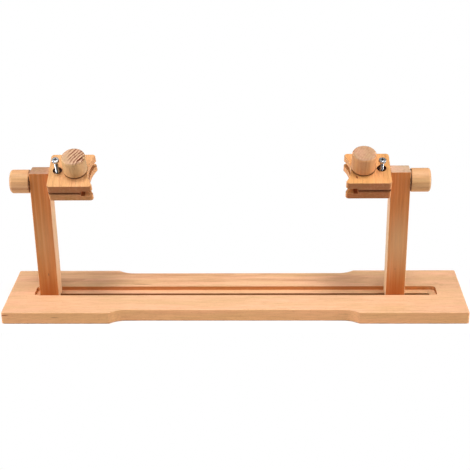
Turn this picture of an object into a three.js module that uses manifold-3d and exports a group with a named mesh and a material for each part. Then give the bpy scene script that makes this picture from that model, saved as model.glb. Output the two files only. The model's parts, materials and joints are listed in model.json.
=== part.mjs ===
// An embroidery hoop stand in beech: a base board with a slotted channel, two uprights that
// slide along it, and on each upright a tilting clamp head that grips the rim of a hoop.
// Sizes are in millimetres. X runs along the board, Y away from the user and Z up, and the
// origin is the middle of the board's underside.

import * as THREE from 'three';
import { mergeVertices } from 'three/addons/utils/BufferGeometryUtils.js';
import Module from 'manifold-3d';

const wasm = await Module();
wasm.setup();

// Clearances
const faceGap = 0.2; // between two faces that bear on each other
const sideGap = 0.3; // round a piece that stands in a pocket, an insert or a bore
const boltPlay = 0.4; // round a bolt in its clearance hole
const boreRest = 2; // depth of a bore past the insert in it

// Base board
const boardLength = 600;
const boardDepth = 124;
const boardThickness = 16;
const boardCorner = 2.5;
const boardEdge = 1.3;
const waistDepth = 107.5;
const waistLength = 280;
const coveRadius = 30;

// Channel on top of the board, slot through its floor, groove for bolt heads underneath
const channelLength = 532;
const channelDepth = 5.6;
const channelCorner = 5;
const slotInset = 8.4; // from each end of the channel to the end of the slot
const grooveDepth = 6;

// Uprights
const postSize = 25;
const postTop = 187.8; // height of an upright's top above the table
const postCorner = 1.2;
const postEdge = 0.8;
const leftPostX = -245.6;
const rightPostX = 210.5;

// Clamp jaws, in the frame of the head: x from the upright inwards, z through the two jaws
const axleHeight = 172.8; // of the tilt axle above the table
const headGap = 0.5; // between the upright and the jaws
const jawWidth = 56.4;
const jawDepth = 56.5;
const jawThickness = 12;
const jawCorner = 4;
const jawEdge = 0.8;
const jawSpacing = 1.8; // between the closed jaws
const gripChord = 48; // length of the hollow in the jaws' inner edge
const gripHollow = 7; // its depth
const rebateWidth = 15; // of the notch for the hoop's rim
const rebateDepth = 3; // in each jaw
const clampBoltX = 34; // from the jaws' outer side
const jackX = 11;
const leftTilt = 25.5; // degrees, front edge down
const rightTilt = 21;

// Knobs
const knobDiameter = 30.2;
const knobLength = 24.5;
const knobOuterEdge = 3.2;
const knobInnerEdge = 1.2;
const knobBore = 21; // depth of the bore for the bolt's end

// Bolts and screws: an M6 thread for all but the M5 jack screws, lengths from under the head
const boltThread = 6;
const jackThread = 5;
const chamfer = 0.6; // on the end of each thread
const tiltBoltLength = 60; // the whole of it, as it has no head
const tiltBoltWood = 20; // its length in the lower jaw
const tiltBoltPoint = 4;
const clampBoltLength = 40;
const clampBoltHead = 13.5;
const clampHeadHeight = 3.2;
const clampNeck = 7; // side of the square neck
const clampNeckHeight = 3;
const clampPocket = 4.2; // depth of the pocket for its head
const footBoltLength = 16;
const footHead = 10.5;
const footHeadHeight = 3.3;
const footHeadEdge = 2;
const footSocket = 4; // across flats
const footSocketDepth = 2;
const jackLength = 25;
const jackHead = 9.4;
const jackHeadHeight = 3.2;
const jackHeadEdge = 1.4;
const crossLength = 5.2; // arms of the recess in the head
const crossWidth = 1.2;
const crossDepth = 1.9;
const leftJackRise = 16.8; // underside of the head above the upper jaw
const rightJackRise = 11.5;

// Washers
const knobWasher = 14;
const knobWasherThickness = 0.8;
const footWasher = 18;
const footWasherThickness = 1.6;

// Threaded inserts
const boltInsert = 9;
const boltInsertLength = 10;
const jackInsert = 8;
const jackInsertLength = 7.5;
const insertGroove = 0.5; // depth of the groove round the middle
const insertGrooveWidth = 1;
const jackHole = 12;
const jackHoleDepth = 4; // down to the insert

// Facets on round pieces, in segments a turn
const fineTurn = 30;
const turn = 20;
const edgeSteps = 3;
const domeSteps = 4;

// Sizes that follow from these
const channelFloor = boardThickness - channelDepth;
const channelWidth = postSize + 2 * sideGap;
const slotLength = channelLength - 2 * slotInset;
const boltHole = boltThread + 2 * boltPlay;
const slotWidth = boltHole;
const grooveWidth = footWasher + 2 * boltPlay;
const postFoot = channelFloor + faceGap;
const headX = postSize / 2 + headGap;
const knobX = postSize / 2 + faceGap;
const lowerTop = jawThickness / 2;
const upperBottom = lowerTop + jawSpacing;
const upperTop = upperBottom + jawThickness;
const clampWasherZ = upperTop + faceGap;
const knobLift = knobWasherThickness + faceGap; // from the underside of a knob's washer to the knob
const overshoot = 1; // how far a cutter reaches past the face that it cuts
const weldDistance = 1e-4; // corners nearer than this are one corner

const finishes = {
  boardBeech: { color: 0xf4c9a0, roughness: 0.5, metalness: 0 },
  postBeech: { color: 0xd59a62, roughness: 0.5, metalness: 0 },
  jawBeech: { color: 0xe7b079, roughness: 0.5, metalness: 0 },
  knobBeech: { color: 0xdfae80, roughness: 0.55, metalness: 0 },
  zincSteel: { color: 0xc8cacd, roughness: 0.3, metalness: 1 },
  brass: { color: 0xc6a25a, roughness: 0.35, metalness: 1 },
};

// Solids

function toSolid(geometry) {
  geometry.deleteAttribute('normal');
  geometry.deleteAttribute('uv');
  const merged = mergeVertices(geometry, weldDistance);
  const corners = merged.index.array;
  const triangles = [];
  for (let i = 0; i < corners.length; i += 3) {
    const [a, b, c] = corners.slice(i, i + 3);
    if (a !== b && b !== c && c !== a) triangles.push(a, b, c);
  }
  return new wasm.Manifold(new wasm.Mesh({
    numProp: 3,
    vertProperties: Float32Array.from(merged.attributes.position.array),
    triVerts: Uint32Array.from(triangles),
  }));
}

function toGeometry(solid) {
  const { vertProperties, triVerts } = solid.getMesh();
  const geometry = new THREE.BufferGeometry();
  geometry.setAttribute('position', new THREE.BufferAttribute(vertProperties, 3));
  geometry.setIndex(new THREE.BufferAttribute(triVerts, 1));
  geometry.computeVertexNormals();
  return geometry;
}

// A plate of the given outline from low to high, its edges rounded over where edge is given
function plate(outline, low, high, edge = 0) {
  const geometry = new THREE.ExtrudeGeometry(outline, {
    depth: high - low - 2 * edge,
    curveSegments: edgeSteps,
    bevelEnabled: edge > 0,
    bevelThickness: edge,
    bevelSize: edge,
    bevelOffset: -edge,
    bevelSegments: 2,
  });
  return toSolid(geometry.translate(0, 0, low + edge));
}

// A box between two corners
function block(low, high) {
  const size = high.map((value, axis) => value - low[axis]);
  const middle = high.map((value, axis) => (value + low[axis]) / 2);
  return toSolid(new THREE.BoxGeometry(...size).translate(...middle));
}

// A round rod from low to high along Z, through the point x, y
function rod(diameter, low, high, x = 0, y = 0, segments = turn) {
  const geometry = new THREE.CylinderGeometry(diameter / 2, diameter / 2, high - low, segments);
  return toSolid(geometry.rotateX(Math.PI / 2).translate(x, y, (low + high) / 2));
}

// A turned piece: its outline as radius and height, counted anticlockwise round the half section
function turned(outline, segments = turn) {
  const points = outline.map(([radius, height]) => new THREE.Vector2(radius, height));
  return toSolid(new THREE.LatheGeometry(points, segments).rotateX(Math.PI / 2));
}

// Points of a quarter-round edge about x, y, from angle start over a quarter turn
function quarterRound(x, y, radius, start) {
  const points = [];
  for (let step = 0; step <= edgeSteps; step += 1) {
    const angle = THREE.MathUtils.degToRad(start + (90 * step) / edgeSteps);
    points.push([x + radius * Math.cos(angle), y + radius * Math.sin(angle)]);
  }
  return points;
}

// Outlines

function roundedRectangle(width, depth, radius) {
  const x = width / 2 - radius;
  const y = depth / 2 - radius;
  const quarter = Math.PI / 2;
  const outline = new THREE.Shape();
  outline.absarc(x, -y, radius, -quarter, 0);
  outline.absarc(x, y, radius, 0, quarter);
  outline.absarc(-x, y, radius, quarter, 2 * quarter);
  outline.absarc(-x, -y, radius, 2 * quarter, 3 * quarter);
  return outline;
}

// The board seen from above: wide ends, and a waist that runs into them in four coves
function boardOutline() {
  const x = boardLength / 2 - boardCorner;
  const y = boardDepth / 2 - boardCorner;
  const coveX = waistLength / 2;
  const coveY = waistDepth / 2 + coveRadius;
  const quarter = Math.PI / 2;
  const sweep = Math.acos((coveY - boardDepth / 2) / coveRadius);
  const outline = new THREE.Shape();
  outline.absarc(x, -y, boardCorner, -quarter, 0);
  outline.absarc(x, y, boardCorner, 0, quarter);
  outline.absarc(coveX, coveY, coveRadius, -quarter + sweep, -quarter, true);
  outline.absarc(-coveX, coveY, coveRadius, -quarter, -quarter - sweep, true);
  outline.absarc(-x, y, boardCorner, quarter, 2 * quarter);
  outline.absarc(-x, -y, boardCorner, 2 * quarter, 3 * quarter);
  outline.absarc(-coveX, -coveY, coveRadius, quarter + sweep, quarter, true);
  outline.absarc(coveX, -coveY, coveRadius, quarter, quarter - sweep, true);
  return outline;
}

// A jaw seen from above: its straight side at x = 0, the hollow side towards the hoop
function jawOutline() {
  const x = jawWidth - jawCorner;
  const y = jawDepth / 2 - jawCorner;
  const half = gripChord / 2;
  const radius = (half * half + gripHollow * gripHollow) / (2 * gripHollow);
  const sweep = Math.asin(half / radius);
  const quarter = Math.PI / 2;
  const outline = new THREE.Shape();
  outline.absarc(x, -y, jawCorner, -quarter, 0);
  outline.absarc(jawWidth - gripHollow + radius, 0, radius, Math.PI + sweep, Math.PI - sweep, true);
  outline.absarc(x, y, jawCorner, 0, quarter);
  outline.absarc(jawCorner, y, jawCorner, quarter, 2 * quarter);
  outline.absarc(jawCorner, -y, jawCorner, 2 * quarter, 3 * quarter);
  return outline;
}

// Wooden pieces

function baseBoard() {
  const above = boardThickness + overshoot;
  const channel = roundedRectangle(channelLength, channelWidth, channelCorner);
  const slot = roundedRectangle(slotLength, slotWidth, slotWidth / 2);
  const grooveLength = slotLength - slotWidth + grooveWidth;
  const groove = roundedRectangle(grooveLength, grooveWidth, grooveWidth / 2);
  return plate(boardOutline(), 0, boardThickness, boardEdge)
    .subtract(plate(channel, channelFloor, above))
    .subtract(plate(slot, -overshoot, above))
    .subtract(plate(groove, -overshoot, grooveDepth));
}

function upright() {
  const footBore = boltInsertLength + 2 * faceGap + boreRest;
  const axleBore = rod(boltHole, -postSize, postSize);
  return plate(roundedRectangle(postSize, postSize, postCorner), postFoot, postTop, postEdge)
    .subtract(rod(boltInsert + 2 * sideGap, postFoot - overshoot, postFoot + footBore))
    .subtract(axleBore.rotate([0, 90, 0]).translate([0, 0, axleHeight]));
}

function lowerJaw() {
  const bottom = -lowerTop;
  const pocket = bottom + clampPocket;
  const headPocket = rod(clampBoltHead + 2 * boltPlay, bottom - overshoot, pocket, clampBoltX);
  const neck = clampNeck / 2 + sideGap;
  const neckTop = pocket + clampNeckHeight + faceGap;
  const neckPocket = block([clampBoltX - neck, -neck, bottom], [clampBoltX + neck, neck, neckTop]);
  const tiltBore = rod(boltThread + 2 * sideGap, -overshoot, tiltBoltWood + faceGap);
  return plate(jawOutline(), bottom, lowerTop, jawEdge)
    .subtract(rebate(lowerTop - rebateDepth, lowerTop + overshoot))
    .subtract(rod(boltHole, bottom - overshoot, lowerTop + overshoot, clampBoltX))
    .subtract(headPocket)
    .subtract(neckPocket)
    .subtract(tiltBore.rotate([0, 90, 0]));
}

function upperJaw() {
  const above = upperTop + overshoot;
  const below = upperBottom - overshoot;
  return plate(jawOutline(), upperBottom, upperTop, jawEdge)
    .subtract(rebate(below, upperBottom + rebateDepth))
    .subtract(rod(boltHole, below, above, clampBoltX))
    .subtract(rod(jackHole, upperTop - jackHoleDepth, above, jackX))
    .subtract(rod(jackInsert + 2 * sideGap, below, above, jackX));
}

// The rebate along a jaw's inner edge, from low to high
function rebate(low, high) {
  const end = jawDepth / 2 + overshoot;
  return block([jawWidth - rebateWidth, -end, low], [jawWidth + overshoot, end, high]);
}

// A knob standing on z = 0, bored from below for its insert and the end of its bolt
function knob() {
  const radius = knobDiameter / 2;
  const bolt = boltThread / 2 + sideGap;
  const insert = boltInsert / 2 + sideGap;
  const insertTop = boltInsertLength + 2 * faceGap;
  return turned([
    [0, knobBore],
    [bolt, knobBore],
    [bolt, insertTop],
    [insert, insertTop],
    [insert, 0],
    ...quarterRound(radius - knobInnerEdge, knobInnerEdge, knobInnerEdge, -90),
    ...quarterRound(radius - knobOuterEdge, knobLength - knobOuterEdge, knobOuterEdge, 0),
    [0, knobLength],
  ], fineTurn);
}

// Metal pieces

function washer(diameter, thickness) {
  const inner = boltHole / 2;
  const outer = diameter / 2;
  return turned([[inner, 0], [outer, 0], [outer, thickness], [inner, thickness], [inner, 0]], fineTurn);
}

function insert(diameter, thread, length) {
  const outer = diameter / 2;
  const bore = thread / 2 + sideGap;
  const groove = outer - insertGroove;
  const low = (length - insertGrooveWidth) / 2;
  const high = (length + insertGrooveWidth) / 2;
  return turned([
    [bore, 0],
    [outer, 0],
    [outer, low - insertGroove],
    [groove, low],
    [groove, high],
    [outer, high + insertGroove],
    [outer, length],
    [bore, length],
    [bore, 0],
  ]);
}

// The tilt bolt lies along Z, the jaw's side at z = 0: a point in the wood, a thread for the knob
function tiltBolt() {
  const radius = boltThread / 2;
  const end = tiltBoltLength - tiltBoltWood;
  return turned([
    [0, -tiltBoltWood],
    [radius, tiltBoltPoint - tiltBoltWood],
    [radius, end - chamfer],
    [radius - chamfer, end],
    [0, end],
  ]);
}

// The clamp bolt stands in the lower jaw: domed head below, square neck, thread upwards
function clampBolt() {
  const radius = boltThread / 2;
  const headTop = clampPocket - lowerTop - faceGap;
  const end = headTop + clampBoltLength;
  const neck = clampNeck / 2;
  const dome = [];
  for (let step = 0; step <= domeSteps; step += 1) {
    const angle = (Math.PI / 2) * (1 - step / domeSteps);
    dome.push([(clampBoltHead / 2) * Math.cos(angle), headTop - clampHeadHeight * Math.sin(angle)]);
  }
  dome[0][0] = 0;
  const shank = turned([
    ...dome,
    [radius, headTop],
    [radius, end - chamfer],
    [radius - chamfer, end],
    [0, end],
  ]);
  const neckFoot = headTop - clampHeadHeight / 2;
  return shank.add(block([-neck, -neck, neckFoot], [neck, neck, headTop + clampNeckHeight]));
}

// The jack screw's head stands on z = 0, with its thread below
function jackScrew() {
  const radius = jackThread / 2;
  const head = jackHead / 2;
  const arm = crossLength / 2;
  const width = crossWidth / 2;
  const low = jackHeadHeight - crossDepth;
  const high = jackHeadHeight + overshoot;
  return turned([
    [0, -jackLength],
    [radius - chamfer, -jackLength],
    [radius, chamfer - jackLength],
    [radius, 0],
    [head, 0],
    ...quarterRound(head - jackHeadEdge, jackHeadHeight - jackHeadEdge, jackHeadEdge, 0),
    [0, jackHeadHeight],
  ]).subtract(block([-arm, -width, low], [arm, width, high]))
    .subtract(block([-width, -arm, low], [width, arm, high]));
}

// The foot bolt's head hangs below z = 0, with its thread above
function footBolt() {
  const radius = boltThread / 2;
  const head = footHead / 2;
  const corner = footSocket / Math.sqrt(3);
  const socket = new THREE.CylinderGeometry(corner, corner, footSocketDepth + overshoot, 6);
  socket.rotateX(Math.PI / 2);
  socket.translate(0, 0, (footSocketDepth - overshoot) / 2 - footHeadHeight);
  return turned([
    [0, -footHeadHeight],
    ...quarterRound(head - footHeadEdge, footHeadEdge - footHeadHeight, footHeadEdge, -90),
    [head, 0],
    [radius, 0],
    [radius, footBoltLength - chamfer],
    [radius - chamfer, footBoltLength],
    [0, footBoltLength],
  ]).subtract(toSolid(socket));
}

// Assembly

function piece(name, solid, finish) {
  const mesh = new THREE.Mesh(toGeometry(solid), new THREE.MeshStandardMaterial(finishes[finish]));
  mesh.name = name;
  return mesh;
}

// Puts pieces on the axis at x, each at its own height
function stack(group, x, entries) {
  for (const [mesh, z] of entries) {
    mesh.position.set(x, 0, z);
    group.add(mesh);
  }
}

// A knob with its insert and the washer under it, the washer's underside at z = 0
function knobStack(name) {
  const group = new THREE.Group();
  stack(group, 0, [
    [piece(`${name}_washer`, washer(knobWasher, knobWasherThickness), 'zincSteel'), 0],
    [piece(`${name}_knob`, knob(), 'knobBeech'), knobLift],
    [piece(`${name}_knob_insert`, insert(boltInsert, boltThread, boltInsertLength), 'brass'),
      knobLift + faceGap],
  ]);
  return group;
}

// A clamp head about its axle, its outer side at x = 0
function clampHead(name, jackRise) {
  const head = new THREE.Group();
  const axle = piece(`${name}_tilt_bolt`, tiltBolt(), 'zincSteel');
  axle.rotation.y = -Math.PI / 2;
  head.add(axle);
  head.add(piece(`${name}_lower_jaw`, lowerJaw(), 'jawBeech'));
  head.add(piece(`${name}_upper_jaw`, upperJaw(), 'jawBeech'));
  stack(head, clampBoltX, [
    [piece(`${name}_clamp_bolt`, clampBolt(), 'zincSteel'), 0],
    [knobStack(`${name}_clamp`), clampWasherZ],
  ]);
  stack(head, jackX, [
    [piece(`${name}_jack_insert`, insert(jackInsert, jackThread, jackInsertLength), 'brass'),
      upperTop - jackHoleDepth - faceGap - jackInsertLength],
    [piece(`${name}_jack_screw`, jackScrew(), 'zincSteel'), upperTop + jackRise],
  ]);
  return head;
}

// An upright with all that it carries. Its x points inwards, so the right one stands turned round
function side(name, x, inwards, tilt, jackRise) {
  const group = new THREE.Group();
  group.position.x = x;
  group.rotation.z = inwards > 0 ? 0 : Math.PI;
  group.add(piece(`${name}_upright`, upright(), 'postBeech'));
  const footWasherZ = grooveDepth - faceGap - footWasherThickness;
  stack(group, 0, [
    [piece(`${name}_foot_insert`, insert(boltInsert, boltThread, boltInsertLength), 'brass'),
      postFoot + faceGap],
    [piece(`${name}_foot_washer`, washer(footWasher, footWasherThickness), 'zincSteel'), footWasherZ],
    [piece(`${name}_foot_bolt`, footBolt(), 'zincSteel'), footWasherZ - faceGap],
  ]);
  const tiltKnob = knobStack(`${name}_tilt`);
  tiltKnob.position.set(-knobX, 0, axleHeight);
  tiltKnob.rotation.y = -Math.PI / 2;
  group.add(tiltKnob);
  const head = clampHead(name, jackRise);
  head.position.set(headX, 0, axleHeight);
  head.rotation.x = inwards * THREE.MathUtils.degToRad(tilt);
  group.add(head);
  return group;
}

const stand = new THREE.Group();
stand.add(piece('base_board', baseBoard(), 'boardBeech'));
stand.add(side('left', leftPostX, 1, leftTilt, leftJackRise));
stand.add(side('right', rightPostX, -1, rightTilt, rightJackRise));

export default stand;
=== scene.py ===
import json
import math
from typing import NamedTuple

import bmesh
import bpy
from bpy.props import FloatProperty, FloatVectorProperty, PointerProperty
from mathutils import Matrix, Vector


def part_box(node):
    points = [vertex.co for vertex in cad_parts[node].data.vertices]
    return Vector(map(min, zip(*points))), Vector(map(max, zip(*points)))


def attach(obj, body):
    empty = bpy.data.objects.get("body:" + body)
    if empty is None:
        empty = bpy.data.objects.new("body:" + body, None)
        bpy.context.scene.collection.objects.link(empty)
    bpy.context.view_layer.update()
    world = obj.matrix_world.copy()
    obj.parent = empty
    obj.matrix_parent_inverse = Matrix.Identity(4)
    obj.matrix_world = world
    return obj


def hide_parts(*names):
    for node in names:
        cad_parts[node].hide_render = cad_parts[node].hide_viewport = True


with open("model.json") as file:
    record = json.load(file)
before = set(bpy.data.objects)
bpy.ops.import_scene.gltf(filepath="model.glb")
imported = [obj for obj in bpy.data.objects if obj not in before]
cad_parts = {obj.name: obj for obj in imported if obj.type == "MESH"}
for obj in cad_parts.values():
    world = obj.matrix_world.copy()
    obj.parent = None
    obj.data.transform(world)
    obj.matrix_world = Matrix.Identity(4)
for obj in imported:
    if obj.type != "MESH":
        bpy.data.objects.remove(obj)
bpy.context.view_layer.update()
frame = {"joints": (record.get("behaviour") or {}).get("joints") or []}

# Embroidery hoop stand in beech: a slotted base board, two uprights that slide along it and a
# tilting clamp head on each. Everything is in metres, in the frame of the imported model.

bl_info = {
    "name": "Embroidery Hoop Stand",
    "version": (1, 0, 0),
    "blender": (4, 5, 0),
    "location": "3D View > Sidebar > Hoop Stand",
    "description": "Builds a beech embroidery hoop stand piece by piece",
    "category": "Object",
}

MM = 0.001
SIDES = ("left", "right")
# Depth of a metric thread, as a share of its pitch
THREAD_DEPTH = 0.6
BOARD_LOW, BOARD_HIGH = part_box("base_board")
POST_LOW, POST_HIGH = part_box("left_upright")


def linear(colour):
    """Turns an sRGB hex value into the linear colour that Blender works in."""
    parts = [int(colour[i:i + 2], 16) / 255 for i in (0, 2, 4)]
    return [p / 12.92 if p <= 0.04045 else ((p + 0.055) / 1.055) ** 2.4 for p in parts] + [1]


def length(name, millimetres, description):
    """A property that holds a length, given in millimetres."""
    return FloatProperty(name=name, description=description, default=millimetres * MM,
                         unit="LENGTH", precision=4)


def colour(name, value, description):
    """A property that holds a colour, given as an sRGB hex value."""
    return FloatVectorProperty(name=name, description=description, default=linear(value),
                               size=4, subtype="COLOR", min=0, max=1)


class HoopStandBoard(bpy.types.PropertyGroup):
    """Sizes of the base board, its channel, slot and bolt groove"""
    width: length("Length", (BOARD_HIGH.x - BOARD_LOW.x) / MM, "Along the board")
    depth: length("Depth", (BOARD_HIGH.y - BOARD_LOW.y) / MM, "Across the wide ends")
    thickness: length("Thickness", (BOARD_HIGH.z - BOARD_LOW.z) / MM, "Of the board")
    corner: length("Corner radius", 2.5, "Of the four corners")
    edge: length("Edge radius", 1.3, "Of the eased edges, top and bottom")
    waist_depth: length("Waist depth", 107.5, "Across the narrow middle")
    waist_length: length("Waist length", 280, "Of the straight part of the waist")
    cove: length("Cove radius", 30, "Where the waist runs into the wide ends")
    channel_length: length("Channel length", 532, "Of the channel that the uprights run in")
    channel_width: length("Channel width", 25.6, "Of the channel")
    channel_depth: length("Channel depth", 5.6, "Of the channel")
    channel_corner: length("Channel corner", 5, "Radius of the channel's corners")
    slot_length: length("Slot length", 515.2, "Of the slot through the channel's floor")
    slot_width: length("Slot width", 6.8, "Of the slot")
    groove_width: length("Groove width", 18.8, "Of the groove for bolt heads underneath")
    groove_depth: length("Groove depth", 6, "Of that groove")
    arris: length("Arris", 0.25, "Radius of the eased edges of the channel, slot and groove")


class HoopStandUpright(bpy.types.PropertyGroup):
    """Sizes of the square uprights"""
    size: length("Size", (POST_HIGH.x - POST_LOW.x) / MM, "Side of the square section")
    foot: length("Foot", POST_LOW.z / MM, "Height of the foot above the table")
    top: length("Top", POST_HIGH.z / MM, "Height of the top above the table")
    corner: length("Corner radius", 1.2, "Of the long edges")
    edge: length("Edge radius", 0.8, "Of the edges at the top and foot")
    axle_bore: length("Axle bore", 6.8, "For the tilt bolt")
    insert_bore: length("Insert bore", 9.6, "For the insert in the foot")
    insert_depth: length("Insert bore depth", 12.4, "Of that bore")
    arris: length("Arris", 0.2, "Radius of the eased edges of the bores")


class HoopStandJaw(bpy.types.PropertyGroup):
    """Sizes of the clamp jaws"""
    gap: length("Gap", 0.5, "Between the upright and the jaws")
    width: length("Width", 56.4, "From the upright inwards")
    depth: length("Depth", 56.5, "Along the grain")
    thickness: length("Thickness", 12, "Of each jaw")
    spacing: length("Spacing", 1.8, "Between the closed jaws")
    corner: length("Corner radius", 4, "Of the four corners")
    edge: length("Edge radius", 1.1, "Of the eased edges")
    chord: length("Hollow length", 48, "Of the hollow in the inner edge")
    hollow: length("Hollow depth", 7, "Of that hollow")
    rebate_width: length("Notch width", 15, "Of the notch for the hoop's rim")
    rebate_depth: length("Notch depth", 3, "Of the notch in each jaw")
    bolt_x: length("Clamp bolt place", 34, "From the jaws' outer side")
    bolt_hole: length("Bolt hole", 6.8, "For the clamp bolt")
    head_pocket: length("Head pocket", 14.3, "For the clamp bolt's head")
    head_pocket_depth: length("Head pocket depth", 4.2, "Of that pocket")
    neck_pocket: length("Neck pocket", 7.6, "For the square neck")
    neck_pocket_depth: length("Neck pocket depth", 7.4, "To the top of that pocket")
    axle_bore: length("Tilt bolt bore", 6.6, "For the tilt bolt's wood end")
    axle_depth: length("Tilt bolt depth", 20.2, "Of that bore")
    jack_x: length("Jack screw place", 11, "From the jaws' outer side")
    jack_hole: length("Jack hole", 12, "Counterbore over the insert")
    jack_hole_depth: length("Jack hole depth", 4, "Down to the insert")
    jack_bore: length("Jack bore", 8.6, "For the jack insert")


class HoopStandKnob(bpy.types.PropertyGroup):
    """Sizes of the turned knobs"""
    gap: length("Gap", 0.2, "Under the washer")
    diameter: length("Diameter", 30.2, "Of the knob")
    height: length("Height", 24.5, "Of the knob")
    outer: length("Outer edge", 3.2, "Radius of the outer edge")
    inner: length("Inner edge", 1.2, "Radius of the inner edge")
    insert_bore: length("Insert bore", 9.6, "For the insert")
    insert_depth: length("Insert bore depth", 10.4, "Of that bore")
    bolt_bore: length("Bolt bore", 6.6, "For the end of the bolt")
    bolt_depth: length("Bolt bore depth", 21, "Of that bore")


class HoopStandHardware(bpy.types.PropertyGroup):
    """Sizes of the bolts, screws, washers and inserts"""
    bolt: length("Bolt thread", 6, "Of all bolts but the jack screws")
    bolt_pitch: length("Bolt pitch", 1, "Of that thread")
    jack: length("Jack thread", 5, "Of the jack screws")
    jack_pitch: length("Jack pitch", 0.8, "Of that thread")
    wood_pitch: length("Wood pitch", 2.5, "Of the tilt bolt's wood thread")
    chamfer: length("Chamfer", 0.6, "On the end of each thread")
    tilt_length: length("Tilt bolt", 60, "Its whole length")
    tilt_wood: length("Tilt bolt in wood", 20, "Its length in the lower jaw")
    tilt_point: length("Tilt bolt point", 4, "Of its pointed end")
    wood_depth: length("Wood thread depth", 0.7, "Of every thread that cuts into wood")
    clamp_length: length("Clamp bolt", 40, "Under its head")
    clamp_head: length("Clamp bolt head", 13.5, "Diameter")
    clamp_head_height: length("Clamp bolt head height", 3.2, "Of the domed head")
    clamp_neck: length("Clamp bolt neck", 7, "Side of the square neck")
    clamp_neck_height: length("Clamp bolt neck height", 3, "Of the square neck")
    foot_length: length("Foot bolt", 16, "Under its head")
    foot_head: length("Foot bolt head", 10.5, "Diameter")
    foot_head_height: length("Foot bolt head height", 3.3, "Of the button head")
    foot_head_edge: length("Foot bolt head edge", 2, "Radius of the button head's edge")
    foot_socket: length("Foot bolt socket", 4, "Across flats")
    foot_socket_depth: length("Foot bolt socket depth", 2, "Of the socket")
    jack_length: length("Jack screw", 25, "Under its head")
    jack_head: length("Jack screw head", 9.4, "Diameter of the pan head")
    jack_head_height: length("Jack screw head height", 3.2, "Of the pan head")
    jack_head_edge: length("Jack screw head edge", 1.4, "Radius of the pan head's edge")
    cross: length("Cross recess", 5.2, "Length of the recess's arms")
    cross_width: length("Cross recess width", 1.2, "Of the arms")
    cross_depth: length("Cross recess depth", 1.9, "Of the arms")
    left_rise: length("Left jack screw", 16.8, "Its head's height above the jaw")
    right_rise: length("Right jack screw", 11.5, "Its head's height above the jaw")
    washer: length("Knob washer", 14, "Diameter")
    washer_height: length("Knob washer thickness", 0.8, "Of the washer")
    foot_washer: length("Foot washer", 18, "Diameter")
    foot_washer_height: length("Foot washer thickness", 1.6, "Of the washer")
    washer_bore: length("Washer bore", 6.8, "Of every washer")
    insert: length("Insert", 9, "Outer diameter of the inserts for the bolts")
    insert_length: length("Insert length", 10, "Of those inserts")
    jack_insert: length("Jack insert", 8, "Outer diameter of the inserts for the jack screws")
    jack_insert_length: length("Jack insert length", 7.5, "Of those inserts")
    insert_pitch: length("Insert pitch", 2, "Of the coarse outer thread")
    play: length("Play", 0.3, "Round a bolt in its insert")
    rest: length("Rest", 0.2, "Between two pieces that bear on each other")


class HoopStandColours(bpy.types.PropertyGroup):
    """Colours of the woods and metals, and of the painted shade and sheen on them"""
    board_top: colour("Board top", "f6cca6", "Flat faces of the board")
    board_edge: colour("Board edge", "f1be8d", "Long edges of the board")
    board_end: colour("Board end", "c98f60", "End grain of the board")
    # Painted shade and sheen: the uprights' fronts and backs are darker and their sides paler than
    # the wood is, for the light that falls on each
    post_front_shade: colour("Upright front", "d28546", "Front and back of the uprights")
    # Painted shade on the uprights' feet, by the board
    post_low: colour("Upright foot", "a4500f", "Darker feet of the uprights")
    post_side_sheen: colour("Upright side", "fbd8ab", "Sides of the left upright")
    post_side_sheen_pale: colour("Pale upright side", "ffe2bb", "Sides of the right upright")
    post_end: colour("Upright end", "c4a088", "End grain of the left upright")
    post_end_pale: colour("Pale upright end", "e2c9b1", "End grain of the right upright")
    jaw_top: colour("Jaw top", "f0b675", "Flat faces of the right jaws")
    jaw_top_pale: colour("Pale jaw top", "f1bf87", "Flat faces of the left jaws")
    jaw_side: colour("Jaw side", "f4bd86", "Long sides of the jaws")
    jaw_end: colour("Jaw end", "b57a4e", "End grain of the upper jaws")
    # Also painted shadow of the knob on the left upper jaw's top
    jaw_end_pale: colour("Pale jaw end", "cf9967", "End grain of the left lower jaw")
    jaw_end_warm: colour("Warm jaw end", "b67341", "End grain of the right lower jaw")
    knob_side: colour("Knob side", "e1bc8b", "Turned side of the left top knob")
    knob_side_warm: colour("Warm knob side", "dca573", "Turned side of the right top knob")
    knob_side_pale: colour("Pale knob side", "f4c595", "Turned sides of the side knobs")
    knob_end: colour("Knob end", "d6b496", "End grain of the left top knob")
    knob_end_rosy: colour("Rosy knob end", "c7a387", "End grain of the other knobs")
    line: colour("Late wood", "a8683a", "Dark lines of the grain")
    line_dark: colour("Dark late wood", "7a4022", "Bold rings of the left top knob")
    # Also painted sheen on the middles of the uprights' fronts
    pale: colour("Early wood", "e8c898", "Pale streaks of the grain")
    rosy: colour("Rosy wood", "ffefe8", "Tint of the pinkish stretches")
    olive: colour("Olive wood", "f3ead8", "Tint of the yellowish stretches")
    crack: colour("Crack", "8a5a34", "Small cracks and pin knots")
    # Painted shade on the channel's walls
    milled: colour("Milled wood", "b8621c", "Walls of the channel")
    # Painted shade in the slot
    slot_wall: colour("Slot wall", "8a4510", "Walls of the slot")
    # Painted shade in the gap between the jaws and in a ring round each top knob's foot
    scorched: colour("Scorched wood", "5a1c02", "Saw cuts and rings rubbed by the top knobs")
    # Painted shade in the corners of the notches. The knot, the split and the board's corner crack
    # are the wood's own.
    dark: colour("Dark wood", "8c3c10", "Corners of the notches, a knot and a split")
    # Painted shade on the walls of the jack holes
    burnt: colour("Burnt wood", "471d0a", "Walls of the drilled holes")
    zinc: colour("Zinc plate", "b9bbbf", "Bolts, screws and washers")
    # Painted shade in the screws' cross recesses and over the right screw's head
    grime: colour("Grime", "2c2a29", "Dirt in the recesses of the screws")
    brass: colour("Brass", "a98648", "Threaded inserts in the knobs and uprights")
    # Painted shade: the inserts at the bottom of the jack holes
    shaded_brass: colour("Oily brass", "4a3720", "Threaded inserts in the upper jaws")
    paper: colour("Paper", "d8d6d3", "Floor")


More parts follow.
